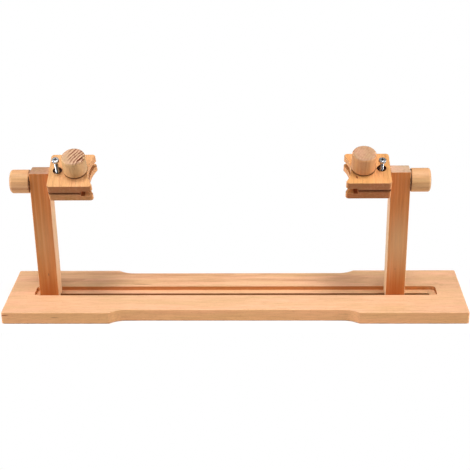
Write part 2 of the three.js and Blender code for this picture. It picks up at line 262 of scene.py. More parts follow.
class HoopStandStage(bpy.types.PropertyGroup):
    """Camera, light and floor"""
    camera_place: FloatVectorProperty(
        name="Camera place", description="Where the camera stands", size=3,
        default=(0.041725, -1.290394, 0.672865), subtype="TRANSLATION", unit="LENGTH")
    pitch: FloatProperty(name="Pitch", description="How far the camera looks down",
                         default=math.radians(24.039), subtype="ANGLE", unit="ROTATION")
    yaw: FloatProperty(name="Yaw", description="How far the camera turns to the left",
                       default=math.radians(1.802), subtype="ANGLE", unit="ROTATION")
    roll: FloatProperty(name="Roll", description="How far the camera leans",
                        default=math.radians(-0.889), subtype="ANGLE", unit="ROTATION")
    lens: FloatProperty(name="Lens", description="Focal length in millimetres",
                        default=83.35, min=1)
    sky: FloatProperty(name="Sky", description="Strength of the even light from all round",
                       default=0.14, min=0)
    top: FloatProperty(name="Top lamps", description="Power of each lamp overhead in watts",
                       default=0.86, min=0)
    side: FloatProperty(name="Side lamps", description="Power of each side lamp in watts",
                        default=25, min=0)


# Shapes

def link(name, shape):
    """Makes an object of a bmesh and puts it in the scene."""
    mesh = bpy.data.meshes.new(name)
    bmesh.ops.recalc_face_normals(shape, faces=shape.faces)
    shape.to_mesh(mesh)
    shape.free()
    piece = bpy.data.objects.new(name, mesh)
    bpy.context.scene.collection.objects.link(piece)
    return piece


def arc(x, y, radius, start, end, steps=8):
    """Points on an arc round x, y, from one angle to the other in degrees."""
    angles = [math.radians(start + (end - start) * i / steps) for i in range(steps + 1)]
    return [(x + radius * math.cos(a), y + radius * math.sin(a)) for a in angles]


def rounded_rectangle(width, depth, radius, steps=8):
    """Outline of a rectangle with round corners."""
    x = width / 2 - radius
    y = depth / 2 - radius
    return (arc(x, -y, radius, -90, 0, steps) + arc(x, y, radius, 0, 90, steps)
            + arc(-x, y, radius, 90, 180, steps) + arc(-x, -y, radius, 180, 270, steps))


def plate(name, outline, low, high):
    """A plate of the given outline from low to high along Z."""
    points = [p for i, p in enumerate(outline) if math.dist(p, outline[i - 1]) > 1e-7]
    shape = bmesh.new()
    foot = [shape.verts.new((x, y, low)) for x, y in points]
    top = [shape.verts.new((x, y, high)) for x, y in points]
    shape.faces.new(foot[::-1])
    shape.faces.new(top)
    for i in range(len(points)):
        shape.faces.new((foot[i - 1], foot[i], top[i], top[i - 1]))
    return link(name, shape)


def block(low, high):
    """A cutter with square corners, between two corners."""
    outline = [(low[0], low[1]), (high[0], low[1]), (high[0], high[1]), (low[0], high[1])]
    return plate("cutter", outline, low[2], high[2])


def rod(diameter, low, high, x=0, y=0, segments=48):
    """A round cutter along Z."""
    return plate("cutter", arc(x, y, diameter / 2, 0, 360, segments), low, high)


def turned(name, profile, segments=64):
    """A piece turned about Z. Its profile runs anticlockwise round the half section, each point a
    radius and a height, and on a thread also the thread's pitch and depth."""
    shape = bmesh.new()
    rings = []
    for radius, height, *thread in profile:
        ring = []
        for i in range(segments if radius else 1):
            reach = radius
            if thread:
                phase = (height / thread[0] - i / segments) % 1
                reach -= thread[1] * abs(2 * phase - 1)
            angle = 2 * math.pi * i / segments
            ring.append(shape.verts.new((reach * math.cos(angle), reach * math.sin(angle), height)))
        rings.append(ring)
    if profile[0][0] and profile[-1][0]:
        rings.append(rings[0])
    for lower, upper in zip(rings, rings[1:]):
        for i in range(segments):
            corners = []
            for ring, place in ((lower, i), (lower, i + 1), (upper, i + 1), (upper, i)):
                corner = ring[place % len(ring)]
                if corner not in corners:
                    corners.append(corner)
            shape.faces.new(corners)
    return link(name, shape)


def threaded(radius, start, end, pitch, depth=None):
    """Profile points of a thread from one height to the other, metric unless it has a depth."""
    if depth is None:
        depth = THREAD_DEPTH * pitch
    steps = max(2, round(abs(end - start) / pitch * 6))
    return [(radius, start + (end - start) * i / steps, pitch, depth) for i in range(steps + 1)]


def bake(piece):
    """Puts what the piece's modifiers make into its mesh."""
    plain = piece.data
    graph = bpy.context.evaluated_depsgraph_get()
    piece.data = bpy.data.meshes.new_from_object(piece.evaluated_get(graph))
    piece.modifiers.clear()
    bpy.data.meshes.remove(plain)


def ease(piece, radius, segments=3, angle=50):
    """Rounds over every edge that is sharper than the angle in degrees."""
    bevel = piece.modifiers.new("eased edges", "BEVEL")
    bevel.width = radius
    bevel.segments = segments
    bevel.limit_method = "ANGLE"
    bevel.angle_limit = math.radians(angle)
    bake(piece)


def cut(piece, *cutters, operation="DIFFERENCE"):
    """Takes the cutters out of the piece, or joins them to it with UNION. A cutter reaches a
    millimetre past each face that it opens."""
    for cutter in cutters:
        hole = piece.modifiers.new("cut", "BOOLEAN")
        hole.object = cutter
        hole.operation = operation
        hole.solver = "EXACT"
    bake(piece)
    for cutter in cutters:
        bpy.data.objects.remove(cutter)


# Places

def joint(name):
    """The frame's entry of a joint."""
    return next(entry for entry in frame["joints"] if entry["name"] == name)


def post_place(side):
    """The upright's frame: x inwards, z up, its origin on the table under the upright."""
    x = joint(f"{side}_head_tilt")["pos_m"][0]
    turn = 0 if x < 0 else math.pi
    return Matrix.Translation((x, 0, 0)) @ Matrix.Rotation(turn, 4, "Z")


def head_place(side):
    """The clamp head's frame: x inwards from the jaws' outer side, z through the jaws."""
    sizes = bpy.context.scene.hoop_stand_upright
    gap = bpy.context.scene.hoop_stand_jaw.gap
    x = post_place(side).col[0].xyz
    z = Vector(joint(f"{side}_upper_jaw_lift")["axis"])
    place = Matrix((x, z.cross(x), z)).transposed().to_4x4()
    place.translation = Vector(joint(f"{side}_head_tilt")["pos_m"]) + x * (sizes.size / 2 + gap)
    return place


def tilt_knob_place(side):
    """The side knob's frame: its washer's underside at z = 0, z outwards along the axle."""
    sizes = bpy.context.scene.hoop_stand_upright
    height = joint(f"{side}_head_tilt")["pos_m"][2]
    out = sizes.size / 2 + bpy.context.scene.hoop_stand_knob.gap
    place = Matrix.Translation((-out, 0, height)) @ Matrix.Rotation(-math.pi / 2, 4, "Y")
    return post_place(side) @ place


def clamp_knob_place(side):
    """The top knob's frame: its washer's underside at z = 0, z along the clamp bolt."""
    jaw = bpy.context.scene.hoop_stand_jaw
    height = jaw.thickness * 1.5 + jaw.spacing + bpy.context.scene.hoop_stand_knob.gap
    return head_place(side) @ Matrix.Translation((jaw.bolt_x, 0, height))


def fit(piece, place, body, node, material, smooth=35):
    """Puts a finished piece in place of its node, on its body, in its material."""
    piece.matrix_world = place
    piece.data.materials.clear()
    piece.data.materials.append(material)
    piece.data.polygons.foreach_set("use_smooth", [True] * len(piece.data.polygons))
    piece.data.set_sharp_from_angle(angle=math.radians(smooth))
    even = piece.modifiers.new("even shading", "WEIGHTED_NORMAL")
    even.keep_sharp = True
    bake(piece)
    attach(piece, body)
    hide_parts(node)


# Materials

def add(tree, kind, inputs=None, **settings):
    """Adds a node with its settings. An input is a value, a socket, or a node, whose first
    output is used."""
    made = tree.nodes.new("ShaderNode" + kind)
    for key, value in settings.items():
        setattr(made, key, value)
    for key, value in (inputs or {}).items():
        if isinstance(value, bpy.types.Node):
            value = next(output for output in value.outputs if output.enabled)
        if isinstance(value, bpy.types.NodeSocket):
            tree.links.new(value, made.inputs[key])
        else:
            made.inputs[key].default_value = value
    return made


class Mark(NamedTuple):
    """A mark of the wood or of the tools, or painted shade or sheen: its middle and half axes in
    millimetres, the name of its colour, how much of it shows, how soft its rim is and its turn
    about Z in degrees. A square mark fills a box, any other an ellipsoid."""
    middle: tuple
    size: tuple
    shade: str
    amount: float
    soft: float = 0.6
    turn: float = 0
    square: bool = False


def patch(tree, place, middle, size, soft=0.4, turn=0, square=False):
    """A mask that is 1 inside an ellipsoid or a box and fades out at its rim."""
    away = add(tree, "VectorMath", {0: place, 1: middle}, operation="SUBTRACT")
    if turn:
        away = add(tree, "VectorRotate", {"Vector": away, "Angle": -math.radians(turn)},
                   rotation_type="Z_AXIS")
    share = add(tree, "VectorMath", {0: away, 1: size}, operation="DIVIDE")
    if square:
        share = add(tree, "VectorMath", {0: share}, operation="ABSOLUTE")
        x, y, z = add(tree, "SeparateXYZ", {0: share}).outputs
        reach = add(tree, "Math", {0: x, 1: y}, operation="MAXIMUM")
        reach = add(tree, "Math", {0: reach, 1: z}, operation="MAXIMUM")
    else:
        reach = add(tree, "VectorMath", {0: share}, operation="LENGTH").outputs["Value"]
    return add(tree, "MapRange", {"Value": reach, "From Min": 1, "From Max": 1 - soft},
               interpolation_type="SMOOTHSTEP")


def add_marks(tree, place, tone, marks):
    """Lays the marks over the tone, which is a Mix node before and after."""
    for mark in marks:
        here = patch(tree, place, mark.middle, mark.size, mark.soft, mark.turn, mark.square)
        here = add(tree, "Math", {0: here, 1: mark.amount}, operation="MULTIPLY")
        shade = getattr(bpy.context.scene.hoop_stand_colours, mark.shade)
        tone = add(tree, "Mix", {0: here, 6: tone.outputs[2], 7: shade}, data_type="RGBA")
    return tone


def start_material(name):
    """Starts a material. Gives it with its nodes, its shader and the place on the piece in mm."""
    material = bpy.data.materials.new(name)
    material.use_nodes = True
    tree = material.node_tree
    place = add(tree, "TexCoord").outputs["Object"]
    place = add(tree, "VectorMath", {0: place, 1: (1 / MM,) * 3}, operation="MULTIPLY")
    return material, tree, tree.nodes["Principled BSDF"], place


# Sawn and sanded beech under a thin coat of oil: close, fine-pored wood with straight growth
# lines, small dark flecks of about 2 mm by 0.4 mm and a soft sheen. Its grain runs along one axis
# of the piece, and its flat faces, sides and ends each have their own tone, as flat-sawn,
# quarter-sawn and end grain. The rings lie round the pith, at the distance that ring gives, both
# in millimetres. The fibres are really finer than 0.1 mm. They are drawn about 1 mm wide, so that
# they show.
# On the uprights the three tones also hold painted shade on the fronts and painted sheen on the
# sides
def beech(name, grain, tones, pith, ring, lines=0.3, streaks=0.3, fibres=0.26, flecks=0.25,
          figure=None, plain=0.25, seed=0, line="line", marks=()):
    colours = bpy.context.scene.hoop_stand_colours
    face_tone, side_tone, end_tone = tones
    material, tree, shader, place = start_material(name)
    order = {"X": (0, 1, 2), "Y": (1, 0, 2), "Z": (2, 0, 1)}[grain]
    parts = add(tree, "SeparateXYZ", {0: place}).outputs
    along, across, through = (parts[i] for i in order)
    parts = add(tree, "SeparateXYZ", {0: add(tree, "TexCoord").outputs["Normal"]}).outputs
    end, side = (parts[i] for i in order[:2])
    # Each piece is cut from its own place in the stock
    stock = add(tree, "CombineXYZ", {0: along, 1: across, 2: through})
    stock = add(tree, "VectorMath", {0: stock, 1: (seed * 331, seed * 57, seed * 83)},
                operation="ADD")

    # Tone of the face: flat side, edge or end
    tone = face_tone
    for part, part_tone in ((side, side_tone), (end, end_tone)):
        share = add(tree, "Math", {0: part}, operation="ABSOLUTE")
        share = add(tree, "MapRange", {"Value": share, "From Min": 0.5, "From Max": 0.85},
                    interpolation_type="SMOOTHSTEP")
        tone = add(tree, "Mix", {0: share, 6: tone, 7: part_tone}, data_type="RGBA")
    end_share = share

    # Patterns of the grain, each with its waves per millimetre along and across the grain
    pattern = {}
    for key, along_scale, across_scale, detail in (
            ("wander", 0.005, 0.03, 2), ("streak", 0.006, 0.26, 3),
            ("fibre", 0.06, 0.8, 3), ("cloud", 0.008, 0.06, 2)):
        stretch = (along_scale, across_scale, across_scale)
        stretched = add(tree, "VectorMath", {0: stock, 1: stretch}, operation="MULTIPLY")
        pattern[key] = add(tree, "TexNoise", {"Vector": stretched, "Scale": 1, "Detail": detail})

    # Growth rings round the pith, each of which darkens slowly to its late wood and ends at once
    flat = add(tree, "CombineXYZ", {1: across, 2: through})
    flat = add(tree, "VectorMath", {0: flat, 1: (0, *pith)}, operation="SUBTRACT")
    radius = add(tree, "VectorMath", {0: flat}, operation="LENGTH").outputs["Value"]
    radius = add(tree, "Math", {0: pattern["wander"], 1: 4 * ring, 2: radius},
                 operation="MULTIPLY_ADD")
    year = add(tree, "Math", {0: radius, 1: ring}, operation="DIVIDE")
    year = add(tree, "Math", {0: year}, operation="FRACT")
    rise = add(tree, "MapRange", {"Value": year, "From Min": 0.35, "From Max": 0.9},
               interpolation_type="SMOOTHSTEP")
    fall = add(tree, "MapRange", {"Value": year, "From Min": 1, "From Max": 0.93})
    late = add(tree, "Math", {0: rise, 1: fall}, operation="MULTIPLY")

    # Long streaks, darker and paler than the wood. The figure is the part of the piece where lines
    # and streaks show in full.
    strength = 1
    if figure:
        here = patch(tree, place, *figure)
        strength = add(tree, "MapRange", {"Value": here, "To Min": plain, "To Max": 1})
    late_strength = add(tree, "Math", {0: strength, 1: lines}, operation="MULTIPLY")
    late_strength = add(tree, "Math", {0: end_share, 1: late_strength, 2: late_strength},
                        operation="MULTIPLY_ADD")
    late = add(tree, "Math", {0: late, 1: late_strength}, operation="MULTIPLY", use_clamp=True)
    streak_strength = add(tree, "Math", {0: strength, 1: streaks}, operation="MULTIPLY")
    dark = add(tree, "MapRange", {"Value": pattern["streak"], "From Min": 0.5, "From Max": 0.72,
                                  "To Max": 1})
    dark = add(tree, "Math", {0: dark, 1: streak_strength}, operation="MULTIPLY")
    fibre_strength = add(tree, "MapRange", {"Value": end_share, "To Min": fibres,
                                            "To Max": 0.4 * fibres})
    fine = add(tree, "MapRange", {"Value": pattern["fibre"], "From Min": 0.35, "From Max": 0.75,
                                  "To Max": fibre_strength})
    cells = add(tree, "VectorMath", {0: stock, 1: (0.22, 1, 1)}, operation="MULTIPLY")
    fleck = add(tree, "TexVoronoi", {"Vector": cells, "Scale": 1})
    fleck = add(tree, "MapRange", {"Value": fleck, "From Min": 0.3, "From Max": 0.12,
                                   "To Max": flecks}, interpolation_type="SMOOTHSTEP")
    shade = late
    for part in (dark, fine, fleck):
        shade = add(tree, "Math", {0: shade, 1: part}, operation="ADD", use_clamp=True)
    tone = add(tree, "Mix", {0: shade, 6: tone, 7: getattr(colours, line)}, data_type="RGBA")
    light = add(tree, "MapRange", {"Value": pattern["streak"], "From Min": 0.5, "From Max": 0.25})
    light = add(tree, "Math", {0: light, 1: streak_strength}, operation="MULTIPLY", use_clamp=True)
    tone = add(tree, "Mix", {0: light, 6: tone, 7: colours.pale}, data_type="RGBA")
    cloud = add(tree, "MapRange", {"Value": pattern["cloud"], "From Min": 0.35, "From Max": 0.65})
    tint = add(tree, "Mix", {0: cloud, 6: colours.rosy, 7: colours.olive}, data_type="RGBA")
    tone = add(tree, "Mix", {0: 1, 6: tone, 7: tint}, data_type="RGBA", blend_type="MULTIPLY")

    tone = add_marks(tree, place, tone, marks)
    tree.links.new(tone.outputs[2], shader.inputs["Base Color"])

    # Sheen of the oil, broken by the fibres
    gloss = add(tree, "MapRange", {"Value": pattern["fibre"], "To Min": 0.42, "To Max": 0.62})
    tree.links.new(gloss.outputs[0], shader.inputs["Roughness"])
    shader.inputs["IOR"].default_value = 1.45
    shader.inputs["Specular IOR Level"].default_value = 0.4
    relief = add(tree, "Math", {0: pattern["fibre"], 1: late}, operation="SUBTRACT")
    bump = add(tree, "Bump", {"Strength": 0.5, "Distance": 0.00015, "Height": relief})
    tree.links.new(bump.outputs[0], shader.inputs["Normal"])
    return material


# Steel, zinc-plated and bright: a clear grey metal with sharp highlights and faint dull spots of
# the plating, which keep it from looking like a mirror
def zinc_plate(name="bright zinc-plated steel", marks=()):
    return metal(name, bpy.context.scene.hoop_stand_colours.zinc, 0.12, 0.24, marks)


# Machined brass: warm yellow metal, a little dull from handling
def machined_brass():
    return metal("machined brass", bpy.context.scene.hoop_stand_colours.brass, 0.28, 0.45)


# Brass made dark brown and dull as painted shade, so it stays dark at the bottom of its hole
def shaded_brass():
    return metal("shaded brass", bpy.context.scene.hoop_stand_colours.shaded_brass, 0.45, 0.65)


def metal(name, shade, smooth, rough, marks=()):
    """A metal whose roughness wanders between two values over spots of about a millimetre."""
    material = bpy.data.materials.get(name)
    if material:
        return material
    material, tree, shader, place = start_material(name)
    spots = add(tree, "TexNoise", {"Vector": place, "Scale": 0.9, "Detail": 4})
    gloss = add(tree, "MapRange", {"Value": spots, "From Min": 0.3, "From Max": 0.7,
                                   "To Min": smooth, "To Max": rough})
    tree.links.new(gloss.outputs[0], shader.inputs["Roughness"])
    dull = add(tree, "MapRange", {"Value": spots, "From Min": 0.35, "From Max": 0.75,
                                  "To Max": 0.18})
    worn = [part * 0.7 for part in shade[:3]] + [1]
    tone = add(tree, "Mix", {0: dull, 6: shade, 7: worn}, data_type="RGBA")
    tone = add_marks(tree, place, tone, marks)
    tree.links.new(tone.outputs[2], shader.inputs["Base Color"])
    shader.inputs["Metallic"].default_value = 1
    return material


# Pieces

class HoopStandMakeBoard(bpy.types.Operator):
    """Makes the base board with its channel, slot and bolt groove"""
    bl_idname = "hoop_stand.board"
    bl_label = "Base board"

    def outline(self, sizes):
        """The board seen from above, with its waist."""
        x = sizes.width / 2 - sizes.corner
        y = sizes.depth / 2 - sizes.corner
        cove_x = sizes.waist_length / 2
        cove_y = sizes.waist_depth / 2 + sizes.cove
        sweep = math.degrees(math.acos((cove_y - sizes.depth / 2) / sizes.cove))
        return (arc(x, -y, sizes.corner, -90, 0) + arc(x, y, sizes.corner, 0, 90)
                + arc(cove_x, cove_y, sizes.cove, sweep - 90, -90, 16)
                + arc(-cove_x, cove_y, sizes.cove, -90, -90 - sweep, 16)
                + arc(-x, y, sizes.corner, 90, 180) + arc(-x, -y, sizes.corner, 180, 270)
                + arc(-cove_x, -cove_y, sizes.cove, 90 + sweep, 90, 16)
                + arc(cove_x, -cove_y, sizes.cove, 90, 90 - sweep, 16))

    def execute(self, context):
        sizes = context.scene.hoop_stand_board
        colours = context.scene.hoop_stand_colours
        board = plate("board", self.outline(sizes), 0, sizes.thickness)
        ease(board, sizes.edge)
        above = sizes.thickness + MM
        channel = rounded_rectangle(sizes.channel_length, sizes.channel_width, sizes.channel_corner)
        slot = rounded_rectangle(sizes.slot_length, sizes.slot_width, sizes.slot_width / 2)
        groove_length = sizes.slot_length - sizes.slot_width + sizes.groove_width
        groove = rounded_rectangle(groove_length, sizes.groove_width, sizes.groove_width / 2)
        cut(board,
            plate("cutter", channel, sizes.thickness - sizes.channel_depth, above),
            plate("cutter", slot, -MM, above),
            plate("cutter", groove, -MM, sizes.groove_depth))
        ease(board, sizes.arris, 2)
        # Small cracks in the front and the top, and painted shade on the walls of the channel and
        # of the slot
        marks = [
            Mark((-297, -62, 12.4), (9, 3, 0.9), "dark", 0.9),
            Mark((-231, -62, 9), (7, 2, 0.8), "crack", 0.6),
            Mark((-126, 19, 16), (18, 1.3, 3), "crack", 0.65, turn=-4),
            Mark((269, 21.8, 16), (5, 0.8, 3), "crack", 0.7),
            Mark((275, 15.8, 16), (4, 0.8, 3), "crack", 0.6),
            Mark((0, 0, 13.2), (267, 14, 2.5), "milled", 0.62, 0.06, square=True),
            Mark((0, 0, 8), (260, 3.7, 2.3), "slot_wall", 0.75, 0.1, square=True),
        ]
        wood = beech("oiled beech, base board", "X",
                     (colours.board_top, colours.board_edge, colours.board_end),
                     pith=(15, -150), ring=3.2, lines=0.25, streaks=0.4,
                     figure=((-60, 38, 12), (290, 28, 30)), plain=0.2, seed=1, marks=marks)
        fit(board, Matrix.Identity(4), "base", "base_board", wood)
        return {"FINISHED"}


class HoopStandMakeUprights(bpy.types.Operator):
    """Makes the two square uprights"""
    bl_idname = "hoop_stand.uprights"
    bl_label = "Uprights"

    def execute(self, context):
        sizes = context.scene.hoop_stand_upright
        colours = context.scene.hoop_stand_colours
        # Painted sheen on the middles of the fronts, painted shade on their feet by the board, and
        # a pin knot in each
        marks = {
            "left": [Mark((0, -12.5, 95), (24, 6, 60), "pale", 0.14, 1),
                     Mark((0, -12.5, 12), (24, 6, 50), "post_low", 0.8, 1),
                     Mark((1.5, -12.5, 46.3), (0.9, 1, 2.6), "crack", 0.9)],
            "right": [Mark((0, 12.5, 90), (24, 6, 65), "pale", 0.34, 1),
                      Mark((0, 12.5, 12), (24, 6, 50), "post_low", 0.8, 1),
                      Mark((1.7, 12.5, 53.6), (0.9, 1, 2.2), "crack", 0.5, 0.7)],
        }
        # The pale sides are painted sheen and the dark fronts painted shade
        sides = {"left": colours.post_side_sheen, "right": colours.post_side_sheen_pale}
        ends = {"left": colours.post_end, "right": colours.post_end_pale}
        for side in SIDES:
            axle = joint(f"{side}_head_tilt")["pos_m"][2]
            section = rounded_rectangle(sizes.size, sizes.size, sizes.corner)
            post = plate(f"{side}_post", section, sizes.foot, sizes.top)
            ease(post, sizes.edge)
            bore = rod(sizes.axle_bore, -sizes.size, sizes.size)
            bore.matrix_world = (Matrix.Translation((0, 0, axle))
                                 @ Matrix.Rotation(math.pi / 2, 4, "Y"))
            bore_top = sizes.foot + sizes.insert_depth
            cut(post, bore, rod(sizes.insert_bore, sizes.foot - MM, bore_top))
            ease(post, sizes.arris, 2)
            wood = beech(f"oiled beech, {side} upright", "Z",
                         (colours.post_front_shade, sides[side], ends[side]),
                         pith=(-70, 120), ring=3.6, lines=0.12, streaks=0.3,
                         seed=2 + SIDES.index(side), marks=marks[side])
            fit(post, post_place(side), f"{side}_upright", f"{side}_upright", wood)
        return {"FINISHED"}


class HoopStandMakeJaws(bpy.types.Operator):
    """Makes the lower and upper clamp jaws"""
    bl_idname = "hoop_stand.jaws"
    bl_label = "Clamp jaws"

    def outline(self, sizes):
        """A jaw seen from above, with the hollow in its inner edge."""
        x = sizes.width - sizes.corner
        y = sizes.depth / 2 - sizes.corner
        half = sizes.chord / 2
        radius = (half * half + sizes.hollow * sizes.hollow) / (2 * sizes.hollow)
        sweep = math.degrees(math.asin(half / radius))
        middle = sizes.width - sizes.hollow + radius
        return (arc(x, -y, sizes.corner, -90, 0)
                + arc(middle, 0, radius, 180 + sweep, 180 - sweep, 32)
                + arc(x, y, sizes.corner, 0, 90)
                + arc(sizes.corner, y, sizes.corner, 90, 180)
                + arc(sizes.corner, -y, sizes.corner, 180, 270))

    def rebate(self, sizes, low, high):
        """The cutter of the notch for the hoop's rim, between two heights."""
        end = sizes.depth / 2 + MM
        return block((sizes.width - sizes.rebate_width, -end, low), (sizes.width + MM, end, high))

    def lower(self, name, sizes):
        top = sizes.thickness / 2
        jaw = plate(name, self.outline(sizes), -top, top)
        ease(jaw, sizes.edge)
        pocket = sizes.head_pocket_depth - top
        neck = sizes.neck_pocket / 2
        axle = rod(sizes.axle_bore, -MM, sizes.axle_depth)
        axle.matrix_world = Matrix.Rotation(math.pi / 2, 4, "Y")
        cut(jaw,
            self.rebate(sizes, top - sizes.rebate_depth, top + MM),
            rod(sizes.bolt_hole, -top - MM, top + MM, sizes.bolt_x),
            rod(sizes.head_pocket, -top - MM, pocket, sizes.bolt_x),
            block((sizes.bolt_x - neck, -neck, pocket - 0.5 * MM),
                  (sizes.bolt_x + neck, neck, sizes.neck_pocket_depth - top)),
            axle)
        return jaw

    def upper(self, name, sizes):
        low = sizes.thickness / 2 + sizes.spacing
        high = low + sizes.thickness
        jaw = plate(name, self.outline(sizes), low, high)
        ease(jaw, sizes.edge)
        cut(jaw,
            self.rebate(sizes, low - MM, low + sizes.rebate_depth),
            rod(sizes.bolt_hole, low - MM, high + MM, sizes.bolt_x),
            rod(sizes.jack_hole, high - sizes.jack_hole_depth, high + MM, sizes.jack_x),
            rod(sizes.jack_bore, low - MM, high + MM, sizes.jack_x))
        return jaw

    def execute(self, context):
        sizes = context.scene.hoop_stand_jaw
        colours = context.scene.hoop_stand_colours
        seam = sizes.thickness / 2 / MM
        gap = sizes.spacing / MM
        top = seam * 3 + gap
        notch = (sizes.width - sizes.rebate_width) / MM
        # Painted shade: on the inner faces in the gap between the jaws, on the walls of the jack
        # hole, in the corners of the notches and in a ring round the top knob's foot
        seam_shade = {"size": (34, 34, 1.3), "shade": "scorched", "amount": 0.9, "soft": 0.3,
                "square": True}
        drilled = sizes.jack_hole / 2 / MM + 0.05
        hole = Mark((sizes.jack_x / MM, 0, 0), (drilled, drilled, 500), "burnt", 1, 0.01)
        corners = [Mark((notch + 2.7, y, seam + z), (2.9, 14, 1.7), "dark", 0.85, 0.2, square=True)
                   for y in (-25, 25) for z in (-1.6, gap + 1.6)]
        shadowed = Mark((sizes.bolt_x / MM, 0, top), (15.9, 15.9, 0.9), "scorched", 0.6, 0.1)
        # Painted shadow of the top knob on the rear of the left top, and a knot in the right one
        marks = {"left": Mark((44, 14, top), (22, 20, 4), "jaw_end_pale", 0.8, 0.8),
                 "right": Mark((42.9, 16.8, top), (1.7, 3.2, 2), "dark", 1, 0.5, 15)}
        tops = {"left": colours.jaw_top_pale, "right": colours.jaw_top}
        ends = {"left": colours.jaw_end_pale, "right": colours.jaw_end_warm}
        grain = {"lines": 0.1, "streaks": 0.16, "fibres": 0.45, "flecks": 0.3}
        for side in SIDES:
            seed = 5 + 2 * SIDES.index(side)
            lower = self.lower(f"{side}_bottom_jaw", sizes)
            wood = beech(f"oiled beech, {side} lower jaw", "Y",
                         (tops[side], colours.jaw_side, ends[side]), pith=(30, -90), ring=3.1,
                         seed=seed, marks=[Mark((28, 0, seam - 0.2), **seam_shade), *corners], **grain)
            fit(lower, head_place(side), f"{side}_head", f"{side}_lower_jaw", wood)
            upper = self.upper(f"{side}_top_jaw", sizes)
            wood = beech(f"oiled beech, {side} upper jaw", "Y",
                         (tops[side], colours.jaw_side, colours.jaw_end), pith=(20, -70), ring=2.9,
                         seed=seed + 1, marks=[Mark((28, 0, seam + gap + 0.2), **seam_shade), shadowed,
                                               hole, *corners, marks[side]], **grain)
            fit(upper, head_place(side), f"{side}_upper_jaw", f"{side}_upper_jaw",
                wood)
        return {"FINISHED"}


class HoopStandMakeKnobs(bpy.types.Operator):
    """Makes the four turned knobs"""
    bl_idname = "hoop_stand.knobs"
    bl_label = "Knobs"

    def knob(self, name, sizes):
        """A knob with its bores, its inner end at z = 0."""
        radius = sizes.diameter / 2
        bolt = sizes.bolt_bore / 2
        insert = sizes.insert_bore / 2
        inner = arc(radius - sizes.inner, sizes.inner, sizes.inner, -90, 0, 5)
        outer = arc(radius - sizes.outer, sizes.height - sizes.outer, sizes.outer, 0, 90, 8)
        return turned(name, [
            (0, sizes.bolt_depth),
            (bolt, sizes.bolt_depth),
            (bolt, sizes.insert_depth),
            (insert, sizes.insert_depth),
            (insert, 0),
            *inner,
            *outer,
            (0, sizes.height)], 96)

    def split(self, knob, slit, sizes):
        """Opens a short drying split in the top of the knob, in the middle of its dark mark."""
        groove = rounded_rectangle(1.7 * slit.size[0] * MM, 1.5 * MM, 0.7 * MM)
        cutter = plate("cutter", groove, sizes.height - 2 * MM, sizes.height + MM)
        place = Vector(slit.middle) * MM
        cutter.matrix_world = (Matrix.Translation((place.x, place.y, 0))
                               @ Matrix.Rotation(math.radians(slit.turn), 4, "Z"))
        cut(knob, cutter)

    def execute(self, context):
        sizes = context.scene.hoop_stand_knob
        hardware = context.scene.hoop_stand_hardware
        colours = context.scene.hoop_stand_colours
        lift = Matrix.Translation((0, 0, hardware.washer_height + sizes.gap))
        # A drying split in the left top knob
        slit = Mark((9, -5.9, 24.5), (6, 1.9, 3), "dark", 1, 0.5, 48)
        pale = (colours.knob_side_pale, colours.knob_side_pale, colours.knob_end_rosy)
        # Rings really lie about 3 mm apart on the left top knob. They are drawn coarser, so that
        # they show from a step away.
        looks = {
            "left_clamp": dict(tones=(colours.knob_side, colours.knob_side, colours.knob_end),
                               pith=(120, -76), ring=4.1, lines=0.55, line="line_dark",
                               figure=((6, 2, 25), (15, 22, 7)), plain=0.1, marks=[slit]),
            "left_tilt": dict(tones=pale, pith=(60, 50), ring=3.2, lines=0.12),
            "right_clamp": dict(tones=(colours.knob_side_warm, colours.knob_side_warm,
                                       colours.knob_end_rosy),
                                pith=(-90, 60), ring=3.4, lines=0.1),
            "right_tilt": dict(tones=pale, pith=(50, -70), ring=3, lines=0.15),
        }
        for number, (name, look) in enumerate(looks.items()):
            side, kind = name.split("_")
            place = clamp_knob_place(side) if kind == "clamp" else tilt_knob_place(side)
            wood = beech(f"turned beech, {side} {kind} knob", "Z", streaks=0.3,
                         seed=11 + number, **look)
            knob = self.knob(f"{name}_turned_knob", sizes)
            if look.get("marks"):
                self.split(knob, slit, sizes)
            fit(knob, place @ lift, f"{name}_knob", f"{name}_knob", wood)
        return {"FINISHED"}


